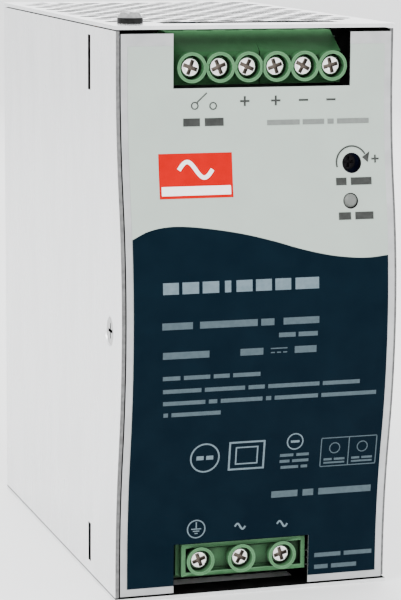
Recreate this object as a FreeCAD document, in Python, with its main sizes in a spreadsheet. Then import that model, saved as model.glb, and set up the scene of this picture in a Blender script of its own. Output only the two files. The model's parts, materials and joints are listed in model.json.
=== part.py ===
"""DIN rail power supply: a 24 V, 240 W class switched-mode supply in a folded sheet-metal case.

Millimetres. X is the width, the terminals face -Y and +Z is up. The origin is the middle of the
footprint, on the underside of the case.
"""
import FreeCAD, Part
import os
import re

import Sketcher

DIMENSIONS = {
    "case": {"width": 63, "height": 125.2, "front": -55.5, "rear": 53, "sheet": 0.8, "bend": 2.5,
             "gap": 0.3, "right_setback": 1.5, "tab_width": 10, "tab_depth": 10,
             "tab_setback": 5.8, "rear_tab": 9},
    "belly": {"rise": 5, "top": 115.2, "apex": 62, "bottom": 6},
    "panel": {"top": 123.5, "bottom": 1.3, "flange_depth": 14, "relief": 0.9, "notch_floor": 111.9,
              "notch_left": -18.9, "notch_right": 21, "lower_notch_top": 12.2,
              "lower_notch_left": -18.3, "lower_notch_right": 12.9},
    "slit": {"setback": 22, "width": 2.2, "upper_low": 110.2, "upper_high": 122.2,
             "lower_low": 3.8, "lower_high": 12.6, "tongue": 0.8, "catch": 0.5,
             "root": 2},
    "film": {"thickness": 0.2, "side_margin": 1.5, "top_margin": 2.6, "bottom_margin": 1.6,
             "notch_rim": 0.05, "hole_rim": 0.05},
    "vent": {"radius": 2.25, "pitch": 6.35, "row_pitch": 5.4, "first_row": -38.4, "columns": 9,
             "rows": 8},
    "wire_slot": {"front": 7.5, "rear": 14},
    "machine_screw": {"radius": 1.5, "pan_radius": 2.8, "pan_height": 2.4, "flat_radius": 3.1,
                      "flat_height": 1.6, "length": 6, "clearance": 0.15, "slot": 0.7,
                      "recess_depth": 1, "crown": 0.72, "reach": 0.55, "sink": 0.25},
    "tab_screw": {"top_x": -25.4, "bottom_x": -25.4, "setback": 10.8, "rear_x": 20,
                  "rear_setback": 4.4},
    "side_screw": {"y": -50.4, "z": 59.5},
    "screw_fit": {"play": 0.05},
    "cut": {"over": 1},
    "join": {"depth": 0.5},
    "terminal": {"collar_front": -55, "face": -52.5, "head_front": -53.6, "head_length": 1.6, "dome": 0.5,
                 "recess": 0.72, "recess_width": 0.85, "recess_depth": 1.2,
                 "neck": 1, "shank": 1.4, "tip": -46.2, "pocket_rear": -39.5,
                 "cage_front": -47.9, "cage_rear": -39.9, "front_bar": 1.8, "rear_bar": 1,
                 "strip_front": -45.8, "strip_rear": -44.8, "strip": 1, "side_wall": 0.3,
                 "crown": 0.8, "strip_inset": 0.2, "strip_play": 0.1, "rear": -38.2,
                 "board": 1.6, "pin_length": 1.2},
    "output": {"first_x": -14.575, "pitch": 6.35, "axis": 116.2, "foot": 3.8, "reach": 7.2,
               "slope_start": 3.2, "slope_depth": 6.5, "collar": 3.25, "bore": 2.6, "head": 2.3,
               "pocket": 2.3, "cage": 2.1, "cage_wall": 0.6, "strip": 1.2, "socket": 1.9,
               "right_inset": 0.9, "groove": 0.5, "groove_width": 0.25,
               "board_left": -20.5, "board_right": 24, "board_low": 97, "board_high": 121.5},
    "input": {"first_x": -11.9, "pitch": 9.5, "axis": 7.8, "foot": 4.2, "reach": 5.6,
              "slope_start": 3.4, "slope_depth": 5, "collar": 3.15, "bore": 2.5, "head": 2.15,
              "pocket": 2.9, "cage": 2.6, "cage_wall": 0.8, "strip": 1.5, "socket": 2.5,
              "board_left": -21, "board_right": 17, "board_low": 4, "board_high": 30,
              "right_inset": -0.35, "rim_left": 0.8, "rim": 0.9, "rim_depth": 1.9,
              "rim_low": 3.4, "rim_high": 3.9},
    "rail": {"height": 35, "centre": 62.6, "seat": 57.7, "room": 1.4, "lip": 1.6, "grip": 2.2,
             "play": 0.3},
    "bracket": {"half_width": 16, "low": 28, "high": 92, "hook_height": 4,
                "screw_x": 12.6, "screw_low": 33, "screw_high": 87, "channel": 9.2,
                "channel_depth": 3.6, "channel_top": 70.2},
    "latch": {"half_width": 9, "thickness": 3.3, "low": 6.5, "high": 69.4, "travel": 5,
              "tongue_half": 7, "tongue_low": 40.6, "tongue_high": 44.6, "grip_slot": 3.5,
              "grip_place": 2.5, "grip_side": 4, "window_half": 2, "window_low": 49,
              "post_low": 49.3, "post_high": 52.3, "side_gap": 0.2},
    "spring": {"coil": 1.25, "wire": 0.25, "length": 14, "turns": 9, "y": 54.75,
               "end": 0.3},
    "board": {"left": -26, "thickness": 1.6, "front": -35.5, "rear": 50, "low": 4, "high": 121,
              "post": 2.5, "post_front": -28, "post_rear": 45.5, "post_low": 9, "post_high": 116},
    "sheet": {"left": -30.5, "thickness": 0.4, "front": -31.8, "rear": 49, "low": 3, "high": 122,
              "hole_play": 0.3},
    "trimmer": {"x": 21.2, "z": 95.2, "half": 3.3, "front": -53.8, "rear": -49.5, "hole": 2.2,
                "rotor": 1.75, "rotor_front": -54.4, "rotor_rear": -51.2, "play": 0.06,
                "slot": 0.6, "slot_depth": 0.7, "slot_reach": 1.2},
    "lamp": {"x": 20.6, "z": 87.1, "hole": 1.7, "radius": 1.5, "crown": 0.9, "tip": -58.9, "rear": -52.4,
             "flange": 1.9, "flange_length": 1, "leg": 0.25, "leg_spacing": 1.27},
    "control": {"front": -49.5, "thickness": 1.6, "left": 11, "right": 28, "low": 76, "high": 108},
    "fuse": {"x": -20, "y": -29, "low": 14, "length": 20, "radius": 2.5, "cap": 5.5,
             "cap_radius": 2.7},
    "thermistor": {"x": -15, "y": -19, "z": 17, "radius": 6.5, "thickness": 5},
    "filter": {"y": 15, "z": 17, "outer": 11, "inner": 5.5, "height": 12, "base": 2,
               "wire": 1.6, "spread": 3.4},
    "xcap": {"y": -6, "z": 17, "width": 10, "length": 22, "height": 19},
    "ycap": {"x": -18.5, "y": 31, "first_z": 8, "spacing": 8.5, "radius": 3.6, "thickness": 2.6,
             "count": 3},
    "lead": {"thickness": 0.6, "half": 2, "offset": 1},
    "cooler": {"low": 36, "thickness": 3, "front": -24, "rear": 47, "right": 26},
    "bridge": {"y": 36, "width": 20, "thickness": 3.8, "height": 17, "x": -6},
    "mosfet": {"y": -14, "spacing": 13, "width": 10, "thickness": 4.5, "height": 15, "x": -6,
               "count": 3},
    "pfc": {"y": -15, "z": 53.5, "outer": 11.5, "inner": 5.5, "height": 16, "wire": 2},
    "bulk": {"y": 30, "z": 58, "radius": 15, "length": 44, "groove": 0.7, "groove_place": 6},
    "power_screw": {"place": 0.75},
    "core": {"y": -12, "z": 87, "width": 36, "depth": 24, "height": 36, "leg": 5.6, "yoke": 7,
             "play": 0.4, "overhang": 4},
    "rectifier_cooler": {"low": 105, "thickness": 3, "front": -27, "rear": 47, "right": 26},
    "rectifier": {"y": 2, "spacing": 13, "width": 10, "thickness": 4.5, "height": 15, "x": -11,
                  "count": 2},
    "outcap": {"y": 16, "spacing": 14, "first_z": 81, "z_spacing": 14.5, "radius": 6.3,
               "length": 25, "columns": 3, "rows": 2},
    "coil": {"y": 33, "z": 114.8, "outer": 5.5, "inner": 2.5, "height": 12, "wire": 1},
    "relay": {"y": -17.5, "z": 115, "width": 15, "height": 11, "length": 19},
}

doc = FreeCAD.newDocument("din_rail_power_supply")
sheet = doc.addObject("Spreadsheet::Sheet", "Dims")
aliases = set()
nodes = []
screws = {"pan": [], "flat": []}


def fill_sheet():
    """Write one named cell for each driving dimension."""
    row = 0
    for group, sizes in DIMENSIONS.items():
        for name, value in sizes.items():
            row += 1
            alias = f"{group}_{name}"
            sheet.set(f"A{row}", alias)
            sheet.set(f"B{row}", str(value))
            sheet.setAlias(f"B{row}", alias)
            aliases.add(alias)
    doc.recompute()


def with_sheet(expression):
    """Put the sheet's name in front of each alias."""
    return re.sub(r"[a-z_]{2,}", lambda word: "Dims." + word.group(), str(expression))


def value_of(expression):
    """Return what an expression of the sheet's aliases comes to, as a number."""
    result = sheet.evalExpression(with_sheet(expression))
    return float(getattr(result, "Value", result))


def bind(thing, **expressions):
    """Bind properties of an object to expressions of the sheet's aliases."""
    for name, expression in expressions.items():
        thing.setExpression(name, with_sheet(expression))


def place(thing, x, y, z, rotation=FreeCAD.Rotation()):
    """Put an object at a place given by three expressions."""
    thing.Placement = FreeCAD.Placement(FreeCAD.Vector(0, 0, 0), rotation)
    for axis, expression in zip("xyz", (x, y, z)):
        thing.setExpression(f".Placement.Base.{axis}", with_sheet(expression))


def new_body(label, is_node=True):
    """Start a body; a node's body is written to a file of its own."""
    body = doc.addObject("PartDesign::Body", label)
    body.Label = label
    body.AllowCompound = True
    if is_node:
        nodes.append(body)
    return body


def group(label, pieces):
    """Gather separate pieces in one node."""
    compound = doc.addObject("Part::Compound", label)
    compound.Label = label
    compound.Links = pieces
    nodes.append(compound)


def box(body, x, y, z, cut=False):
    """Add or cut a box; x, y and z are pairs of expressions, lowest first."""
    kind = "PartDesign::SubtractiveBox" if cut else "PartDesign::AdditiveBox"
    feature = body.newObject(kind, "Box")
    place(feature, x[0], y[0], z[0])
    bind(feature, Length=f"({x[1]}) - ({x[0]})", Width=f"({y[1]}) - ({y[0]})",
         Height=f"({z[1]}) - ({z[0]})")
    return feature


ALONG = {
    "x": FreeCAD.Rotation(FreeCAD.Vector(0, 1, 0), 90),
    "y": FreeCAD.Rotation(FreeCAD.Vector(1, 0, 0), -90),
    "z": FreeCAD.Rotation(),
    "-x": FreeCAD.Rotation(FreeCAD.Vector(0, 1, 0), -90),
    "-y": FreeCAD.Rotation(FreeCAD.Vector(1, 0, 0), 90),
    "-z": FreeCAD.Rotation(FreeCAD.Vector(1, 0, 0), 180),
}


def rod(body, start, along, radius, length, cut=False, far_radius=None):
    """Add or cut a cylinder, or a cone where the far end has a radius of its own."""
    shape = "Cylinder" if far_radius is None else "Cone"
    kind = "Subtractive" if cut else "Additive"
    feature = body.newObject(f"PartDesign::{kind}{shape}", shape)
    place(feature, *start, ALONG[along])
    if far_radius is None:
        bind(feature, Radius=radius, Height=length)
    else:
        bind(feature, Radius1=radius, Radius2=far_radius, Height=length)
    return feature


def arc_middle(start, end, radius, side):
    """Return the middle of the shorter arc between two points; side 1 has its centre on the left."""
    chord = end - start
    across = FreeCAD.Vector(-chord.y, chord.x, 0).normalize() * side
    sagitta = radius - (radius ** 2 - (chord.Length / 2) ** 2) ** 0.5
    return start + chord * 0.5 - across * sagitta


def draw(sketch, outline):
    """Draw a closed outline of (across, up) or (across, up, arc radius, side) corners."""
    corners = [FreeCAD.Vector(value_of(c[0]), value_of(c[1]), 0) for c in outline]
    joints = []
    for index, corner in enumerate(outline):
        start = corners[index]
        end = corners[(index + 1) % len(corners)]
        if len(corner) == 4:
            middle = arc_middle(start, end, value_of(corner[2]), corner[3])
            edge = sketch.addGeometry(Part.Arc(start, middle, end))
        else:
            edge = sketch.addGeometry(Part.LineSegment(start, end))
        forward = sketch.getPoint(edge, 1).isEqual(start, SAME_PLACE)
        joints.append((edge, 1 if forward else 2, 2 if forward else 1))
    for index, corner in enumerate(outline):
        edge, first, last = joints[index]
        following, following_first, _ = joints[(index + 1) % len(joints)]
        sketch.addConstraint(Sketcher.Constraint("Coincident", edge, last, following, following_first))
        for direction, expression in zip("XY", corner[:2]):
            kind = f"Distance{direction}"
            number = value_of(expression)
            made = sketch.addConstraint(Sketcher.Constraint(kind, -1, 1, edge, first, number))
            sketch.setExpression(f"Constraints[{made}]", with_sheet(expression))
        if len(corner) == 4:
            made = sketch.addConstraint(Sketcher.Constraint("Radius", edge, value_of(corner[2])))
            sketch.setExpression(f"Constraints[{made}]", with_sheet(corner[2]))


def extrude(body, plane, outline, low, high, cut=False):
    """Pad or pocket an outline between two heights along the plane's own axis."""
    sketch = body.newObject("Sketcher::SketchObject", "Outline")
    roles = {feature.Role: feature for feature in body.Origin.OriginFeatures}
    sketch.AttachmentSupport = [(roles[plane], "")]
    sketch.MapMode = "FlatFace"
    start = f"-({high})" if plane == "XZ_Plane" else low
    sketch.setExpression(".AttachmentOffset.Base.z", with_sheet(start))
    draw(sketch, outline)
    feature = body.newObject("PartDesign::Pocket" if cut else "PartDesign::Pad", "Extrusion")
    feature.Profile = sketch
    feature.Reversed = cut
    bind(feature, Length=f"({high}) - ({low})")
    return feature


def repeat(body, feature, columns, across, rows, along):
    """Repeat a feature in a grid in X and Y."""
    roles = {part.Role: part for part in body.Origin.OriginFeatures}
    pattern = body.newObject("PartDesign::LinearPattern", "Grid")
    pattern.Originals = [feature]
    pattern.Direction = (roles["X_Axis"], [""])
    pattern.Occurrences = int(value_of(columns))
    pattern.Direction2 = (roles["Y_Axis"], [""])
    pattern.Occurrences2 = int(value_of(rows))
    bind(pattern, Length=f"({columns} - 1) * ({across})", Length2=f"({rows} - 1) * ({along})")
    body.Tip = pattern


def backwards(path):
    """Turn an open path of corners round, arcs and all."""
    turned = []
    for index in range(len(path) - 1, -1, -1):
        corner = path[index][:2]
        if index and len(path[index - 1]) == 4:
            corner += (path[index - 1][2], -path[index - 1][3])
        turned.append(corner)
    return turned


# The belly of the front: straight at the top and bottom, swelling forwards in between through
# two pairs of tangent arcs.

def belly_path(inset, top, bottom):
    """Follow the front's side view downwards, a distance behind its surface."""
    upper = "(belly_top - belly_apex)"
    lower = "(belly_apex - belly_bottom)"
    bends = []
    for run in (upper, lower):
        square = f"({run}^2 + belly_rise^2)"
        bends.append({"radius": f"{square} / (4 * belly_rise)",
                      "sine": f"2 * belly_rise * {run} / {square}",
                      "cosine": f"({run}^2 - belly_rise^2) / {square}"})
    over, under = bends
    front = f"case_front + {inset}"
    middle = f"case_front - belly_rise / 2 + {inset}"
    return [
        (front, top),
        (front, "belly_top", f"{over['radius']} + {inset}", -1),
        (f"{middle} * {over['cosine']}",
         f"belly_top - {upper} / 2 - {inset} * {over['sine']}", f"{over['radius']} - {inset}", 1),
        (f"case_front - belly_rise + {inset}", "belly_apex", f"{under['radius']} - {inset}", 1),
        (f"{middle} * {under['cosine']}",
         f"belly_bottom + {lower} / 2 + {inset} * {under['sine']}",
         f"{under['radius']} + {inset}", -1),
        (front, "belly_bottom"),
        (front, bottom),
    ]


def trim_front(body, inset, left):
    """Cut away all that stands in front of the belly, from a place in X to the right."""
    above, below, ahead = "case_height + cut_over", "-cut_over", "case_front - 3 * belly_rise"
    path = belly_path(inset, above, below) + [(ahead, below), (ahead, above)]
    extrude(body, "YZ_Plane", path, left, "case_width", cut=True)


HALF = "case_width / 2"
PANEL_HALF = "(case_width / 2 - case_sheet - case_gap)"
TAB_SCREW_Y = "case_front + tab_screw_setback"
REAR_SCREW_Y = "case_rear - tab_screw_rear_setback"
# Poles of each terminal block, and the side where its wires come in: 1 above, -1 below.
TERMINALS = {"output": (6, 1), "input": (3, -1)}
# Each screw is left at an angle of its own.
FIRST_TURN = {"output": 20, "input": 70}
TURN_STEP = 137
SAME_PLACE = 1e-6


def slit_heights(end):
    return f"slit_{end}_low", f"slit_{end}_high"


def cut_slits(body, side):
    """Cut the two slits that take the front panel's tongues; side is the wall's sign in X."""
    outside = f"{side} * case_width / 2"
    x = sorted((f"{outside} - 2 * case_sheet", f"{outside} + 2 * case_sheet"), key=value_of)
    y = ("case_front + slit_setback - slit_width / 2", "case_front + slit_setback + slit_width / 2")
    for end in ("upper", "lower"):
        box(body, x, y, slit_heights(end), cut=True)


def cut_flat_seat(body, start, along):
    """Cut the hole and cone of a flat-head screw, from the face that its head is sunk into."""
    rod(body, start, along, "machine_screw_radius + screw_fit_play", "3 * machine_screw_length",
        cut=True)
    rod(body, start, along, "machine_screw_flat_radius + machine_screw_sink + screw_fit_play",
        "machine_screw_flat_height + machine_screw_sink + screw_fit_play", cut=True,
        far_radius="machine_screw_radius + screw_fit_play")


def chassis_shell():
    """Both sides and the rear wall in one folded sheet, with tabs that the covers screw to."""
    body = new_body("chassis_shell")
    low, high = "case_sheet + case_gap", "case_height - case_sheet - case_gap"
    ahead = "case_front - 2 * belly_rise"
    inner = f"({HALF} - case_sheet)"
    fold = [
        (f"-{HALF}", ahead),
        (f"-{inner}", ahead),
        (f"-{inner}", "case_rear - case_bend", "case_bend - case_sheet", -1),
        (f"-{HALF} + case_bend", "case_rear - case_sheet"),
        (f"{HALF} - case_bend", "case_rear - case_sheet", "case_bend - case_sheet", -1),
        (inner, "case_rear - case_bend"),
        (inner, ahead),
        (HALF, ahead),
        (HALF, "case_rear - case_bend", "case_bend", 1),
        (f"{HALF} - case_bend", "case_rear"),
        (f"-{HALF} + case_bend", "case_rear", "case_bend", 1),
        (f"-{HALF}", "case_rear - case_bend"),
    ]
    extrude(body, "XY_Plane", fold, low, high)
    trim_front(body, "0", "-case_width")
    trim_front(body, "case_right_setback", "0")
    front_tab = (f"-{HALF} + case_sheet / 2", f"-{inner} + case_tab_width")
    front_y = ("case_front + case_tab_setback", "case_front + case_tab_setback + case_tab_depth")
    rear_y = ("case_rear - case_rear_tab", "case_rear - case_sheet / 2")
    for z in ((f"{high} - case_sheet", high), (low, f"{low} + case_sheet")):
        box(body, front_tab, front_y, z)
        for side in (-1, 1):
            box(body, around(f"{side} * tab_screw_rear_x", "case_tab_width / 2"), rear_y, z)
    for side, along in ((-1, "x"), (1, "-x")):
        cut_slits(body, side)
        cut_flat_seat(body, (f"{side} * {HALF}", "side_screw_y", "side_screw_z"), along)
        for end, turned in (("0", "z"), ("case_height", "-z")):
            cut_flat_seat(body, (f"{side} * tab_screw_rear_x", REAR_SCREW_Y, end), turned)
        for level in ("low", "high"):
            rod(body, (f"{side} * bracket_screw_x", "case_rear - 2 * case_sheet", f"bracket_screw_{level}"),
                "y", "machine_screw_radius + screw_fit_play", "4 * case_sheet", cut=True)
    rod(body, ("tab_screw_top_x", TAB_SCREW_Y, "case_height / 2"), "z",
        "machine_screw_radius + screw_fit_play", "case_height", cut=True)
    cut_flat_seat(body, ("tab_screw_bottom_x", TAB_SCREW_Y, "0"), "z")


def cover(label, low, high, slot_left, slot_right, face, along):
    """A flat perforated cover with a slot for the wires; its screws go in from its outer face."""
    body = new_body(label)
    outline = [
        (f"-{HALF}", "case_front"),
        (HALF, "case_front"),
        (HALF, "case_rear - case_bend", "case_bend", 1),
        (f"{HALF} - case_bend", "case_rear"),
        (f"-{HALF} + case_bend", "case_rear", "case_bend", 1),
        (f"-{HALF}", "case_rear - case_bend"),
    ]
    extrude(body, "XY_Plane", outline, low, high)
    below, through = f"{low} - cut_over", "case_sheet + 2 * cut_over"
    box(body, (slot_left, slot_right),
        ("case_front + wire_slot_front", "case_front + wire_slot_rear"),
        (below, f"{high} + cut_over"), cut=True)
    for side in (-1, 1):
        cut_flat_seat(body, (f"{side} * tab_screw_rear_x", REAR_SCREW_Y, face), along)
    for shift, first in ((-1, "vent_first_row"), (1, "vent_first_row + vent_row_pitch")):
        x = f"vent_pitch * {shift} / 4 - vent_pitch * (vent_columns - 1) / 2"
        hole = rod(body, (x, first, below), "z", "vent_radius", through, cut=True)
        repeat(body, hole, "vent_columns", "vent_pitch", "vent_rows", "2 * vent_row_pitch")
    return body


def covers():
    """The two perforated covers, above and below."""
    top = cover("top_cover", "case_height - case_sheet", "case_height", "panel_notch_left",
                "panel_notch_right", "case_height", "-z")
    rod(top, ("tab_screw_top_x", TAB_SCREW_Y, "case_height / 2"), "z",
        "machine_screw_radius + machine_screw_clearance", "case_height", cut=True)
    bottom = cover("bottom_cover", "0", "case_sheet", "panel_lower_notch_left",
                   "panel_lower_notch_right", "0", "z")
    cut_flat_seat(bottom, ("tab_screw_bottom_x", TAB_SCREW_Y, "0"), "z")


def front_panel():
    """The bellied front with its side flanges, notches, two small holes and four tongues."""
    body = new_body("front_panel")
    skin = belly_path("0", "panel_top", "panel_bottom")
    skin += backwards(belly_path("case_sheet", "panel_top", "panel_bottom"))
    extrude(body, "YZ_Plane", skin, f"-{PANEL_HALF}", PANEL_HALF)
    flange = belly_path("0", "panel_top", "panel_bottom")
    flange_rear = "case_front + panel_flange_depth"
    flange += [(flange_rear, "panel_bottom"), (flange_rear, "panel_top")]
    for side in (-1, 1):
        edge = f"{side} * {PANEL_HALF}"
        x = sorted((edge, f"{side} * ({PANEL_HALF} - case_sheet)"), key=value_of)
        extrude(body, "YZ_Plane", flange, *x)
        tip = f"{side} * ({PANEL_HALF} + slit_catch)"
        catch = sorted((f"{side} * ({PANEL_HALF} - case_sheet)", tip), key=value_of)
        centre = "case_front + slit_setback"
        for end in ("upper", "lower"):
            low, high = slit_heights(end)
            z = (f"{low} + screw_fit_play", f"{high} - screw_fit_play")
            box(body, x, (f"{flange_rear} - slit_root", f"{centre} + slit_tongue / 2"), z)
            box(body, catch, (f"{centre} - slit_tongue / 2", f"{centre} + slit_tongue / 2"), z)
    behind = ("case_front + case_sheet + screw_fit_play", f"{flange_rear} + cut_over")
    for ends in (("panel_top - panel_relief", "panel_top + cut_over"),
                 ("panel_bottom - cut_over", "panel_bottom + panel_relief")):
        box(body, ("-case_width / 2", "case_width / 2"), behind, ends, cut=True)
    deep = ("case_front - belly_rise", "case_front + case_sheet + screw_fit_play")
    box(body, ("panel_notch_left", "panel_notch_right"), deep, ("panel_notch_floor", "case_height"),
        cut=True)
    box(body, ("panel_lower_notch_left", "panel_lower_notch_right"), deep,
        ("0", "panel_lower_notch_top"), cut=True)
    for part in ("trimmer", "lamp"):
        rod(body, (f"{part}_x", "case_front - 2 * belly_rise", f"{part}_z"), "y", f"{part}_hole",
            "3 * belly_rise", cut=True)
    for side, along in ((-1, "x"), (1, "-x")):
        cut_flat_seat(body, (f"{side} * case_width / 2", "side_screw_y", "side_screw_z"), along)


def front_label():
    """The printed film on the front, clear of both notches and both holes."""
    body = new_body("front_label")
    top, bottom = "panel_top - film_top_margin", "panel_bottom + film_bottom_margin"
    film = belly_path("(-film_thickness)", top, bottom) + backwards(belly_path("0", top, bottom))
    half = f"({PANEL_HALF} - film_side_margin)"
    extrude(body, "YZ_Plane", film, f"-{half}", half)
    ahead = ("case_front - 2 * belly_rise", "case_front + cut_over")
    box(body, ("panel_notch_left - film_notch_rim", "panel_notch_right + film_notch_rim"), ahead,
        ("panel_notch_floor - film_notch_rim", "case_height"), cut=True)
    box(body, ("panel_lower_notch_left - film_notch_rim", "panel_lower_notch_right + film_notch_rim"),
        ahead, ("0", "panel_lower_notch_top + film_notch_rim"), cut=True)
    for part in ("trimmer", "lamp"):
        rod(body, (f"{part}_x", "case_front - 2 * belly_rise", f"{part}_z"), "y",
            f"{part}_hole + film_hole_rim", "3 * belly_rise", cut=True)


def cut_recess(body, start, reach):
    """Cut a cross recess into a head whose face looks back along the screw's axis."""
    half = "machine_screw_slot / 2"
    depth = (start, f"{start} + machine_screw_recess_depth")
    thin, wide = (f"-{half}", half), (f"-{reach}", reach)
    for first, second in ((thin, wide), (wide, thin)):
        box(body, first, depth, second, cut=True)


def machine_screw(head, x, y, z, turn):
    """Make one pan-head or flat-head screw, its own axis along +Y, and turn it into place."""
    body = new_body(f"{head}_screw", is_node=False)
    screws[head].append(body)
    if head == "pan":
        rod(body, ("0", "-machine_screw_pan_height", "0"), "y",
            "machine_screw_pan_radius * machine_screw_crown",
            "machine_screw_pan_height / 2", far_radius="machine_screw_pan_radius")
        rod(body, ("0", "-machine_screw_pan_height / 2", "0"), "y", "machine_screw_pan_radius",
            "machine_screw_pan_height / 2")
        rod(body, ("0", "0", "0"), "y", "machine_screw_radius", "machine_screw_length")
        cut_recess(body, "-machine_screw_pan_height",
                   "machine_screw_pan_radius * machine_screw_reach")
    else:
        rod(body, ("0", "machine_screw_sink", "0"), "y", "machine_screw_flat_radius",
            "machine_screw_flat_height", far_radius="machine_screw_radius")
        rod(body, ("0", "machine_screw_sink + machine_screw_flat_height", "0"), "y",
            "machine_screw_radius", "machine_screw_length - machine_screw_flat_height")
        cut_recess(body, "machine_screw_sink", "machine_screw_flat_radius * machine_screw_reach")
    place(body, x, y, z, turn)


INTO = {
    "x": FreeCAD.Rotation(FreeCAD.Vector(0, 0, 1), -90),
    "-x": FreeCAD.Rotation(FreeCAD.Vector(0, 0, 1), 90),
    "y": FreeCAD.Rotation(),
    "-y": FreeCAD.Rotation(FreeCAD.Vector(0, 0, 1), 180),
    "z": FreeCAD.Rotation(FreeCAD.Vector(1, 0, 0), 90),
    "-z": FreeCAD.Rotation(FreeCAD.Vector(1, 0, 0), -90),
}


def case_screws():
    """Screws of the covers, of the front panel's sides and of the rail bracket."""
    machine_screw("pan", "tab_screw_top_x", TAB_SCREW_Y, "case_height", INTO["-z"])
    machine_screw("flat", "tab_screw_bottom_x", TAB_SCREW_Y, "0", INTO["z"])
    machine_screw("flat", f"-{HALF}", "side_screw_y", "side_screw_z", INTO["x"])
    machine_screw("flat", HALF, "side_screw_y", "side_screw_z", INTO["-x"])
    for side in (-1, 1):
        machine_screw("flat", f"{side} * tab_screw_rear_x", REAR_SCREW_Y, "case_height", INTO["-z"])
        machine_screw("flat", f"{side} * tab_screw_rear_x", REAR_SCREW_Y, "0", INTO["z"])
        for level in ("low", "high"):
            machine_screw("flat", f"{side} * bracket_screw_x", "rail_seat", f"bracket_screw_{level}",
                          INTO["-y"])


def pole_x(kind, index):
    return f"({kind}_first_x + {index} * {kind}_pitch)"


def around(centre, half):
    return f"{centre} - ({half})", f"{centre} + ({half})"


def from_axis(kind, up, low, high):
    """Heights measured from the screws' axis towards the side where the wires come in."""
    return tuple(sorted((f"{kind}_axis + {up} * ({low})", f"{kind}_axis + {up} * ({high})"),
                        key=value_of))


POCKET_FRONT = "(terminal_head_front + terminal_head_length + terminal_neck)"


def terminal_housing(kind, count, up):
    """Moulded block with a collar, a screw bore, a cage pocket and a wire socket for each pole."""
    body = new_body(f"{kind}_terminal_housing")
    half_block = f"{kind}_pitch * {count} / 2 + terminal_side_wall"
    middle = f"({kind}_first_x + {kind}_pitch * ({count} - 1) / 2)"
    reach, foot = f"{kind}_axis + {up} * {kind}_reach", f"{kind}_axis - {up} * {kind}_foot"
    section = [
        ("terminal_face", foot),
        ("terminal_face", f"{kind}_axis + {up} * {kind}_slope_start"),
        (f"terminal_face + {kind}_slope_depth", reach),
        ("terminal_rear", reach),
        ("terminal_rear", foot),
    ]
    right_end = f"{middle} + {half_block} - {kind}_right_inset"
    extrude(body, "YZ_Plane", section, f"{middle} - ({half_block})", right_end)
    for index in range(count):
        x = pole_x(kind, index)
        rod(body, (x, "terminal_collar_front", f"{kind}_axis"), "y", f"{kind}_collar",
            "terminal_face - terminal_collar_front + join_depth")
    if kind == "input":
        rim_z = ("input_axis - input_rim_low", "input_axis + input_rim_high")
        rim_y = ("terminal_face - input_rim_depth", "terminal_face + join_depth")
        left_end = f"{middle} - ({half_block}) + input_rim_left"
        for edge in (left_end, f"{right_end} - input_rim"):
            box(body, (edge, f"{edge} + input_rim"), rim_y, rim_z)
        for edge in (rim_z[0], f"{rim_z[1]} - input_rim"):
            box(body, (left_end, right_end), rim_y, (edge, f"{edge} + input_rim"))
    for index in range(count):
        x = pole_x(kind, index)
        rod(body, (x, "terminal_collar_front - cut_over", f"{kind}_axis"), "y", f"{kind}_bore",
            "terminal_head_front + terminal_head_length - terminal_collar_front + cut_over", cut=True)
        rod(body, (x, "terminal_collar_front", f"{kind}_axis"), "y", "terminal_shank + screw_fit_play",
            f"{POCKET_FRONT} - terminal_collar_front + cut_over", cut=True)
        pocket_z = from_axis(kind, up, f"-{kind}_pocket", f"{kind}_pocket")
        box(body, around(x, f"{kind}_pocket"), (POCKET_FRONT, "terminal_pocket_rear"), pocket_z, cut=True)
        box(body, around(x, f"{kind}_socket"),
            ("terminal_strip_rear", "terminal_cage_rear - terminal_rear_bar"),
            from_axis(kind, up, "0", f"{kind}_reach + cut_over"), cut=True)
        box(body, around(x, f"{kind}_strip + terminal_strip_play"),
            ("terminal_strip_front - terminal_strip_play", "terminal_rear + cut_over"),
            from_axis(kind, up, f"-{kind}_foot - cut_over", f"-{kind}_pocket + terminal_strip_play"),
            cut=True)
    if kind == "output":
        groove_floor, ahead = "terminal_face + output_groove", "terminal_collar_front - cut_over"
        groove = [
            (ahead, foot),
            (groove_floor, foot),
            (groove_floor, "output_axis + output_slope_start"),
            (f"{groove_floor} + output_slope_depth", f"{reach} + cut_over"),
            (ahead, f"{reach} + cut_over"),
        ]
        extrude(body, "YZ_Plane", groove, *around(middle, "output_groove_width / 2"), cut=True)


def terminal_screw(kind, index):
    """One clamp screw: domed head with a cross recess, and a plain shank."""
    body = new_body(f"{kind}_screw_{index + 1}")
    head = f"{kind}_head"
    rod(body, ("0", "0", "0"), "y", f"{head} * terminal_crown", "terminal_dome", far_radius=head)
    rod(body, ("0", "terminal_dome", "0"), "y", head, "terminal_head_length - terminal_dome")
    rod(body, ("0", "terminal_head_length", "0"), "y", "terminal_shank",
        "terminal_tip - terminal_head_front - terminal_head_length")
    thin, wide = around("0", "terminal_recess_width / 2"), around("0", f"{head} * terminal_recess")
    for across, up in ((thin, wide), (wide, thin)):
        box(body, across, ("-cut_over", "terminal_recess_depth"), up, cut=True)
    turn = FIRST_TURN[kind] + TURN_STEP * index
    place(body, pole_x(kind, index), "terminal_head_front", f"{kind}_axis",
          FreeCAD.Rotation(FreeCAD.Vector(0, 1, 0), turn))


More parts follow.
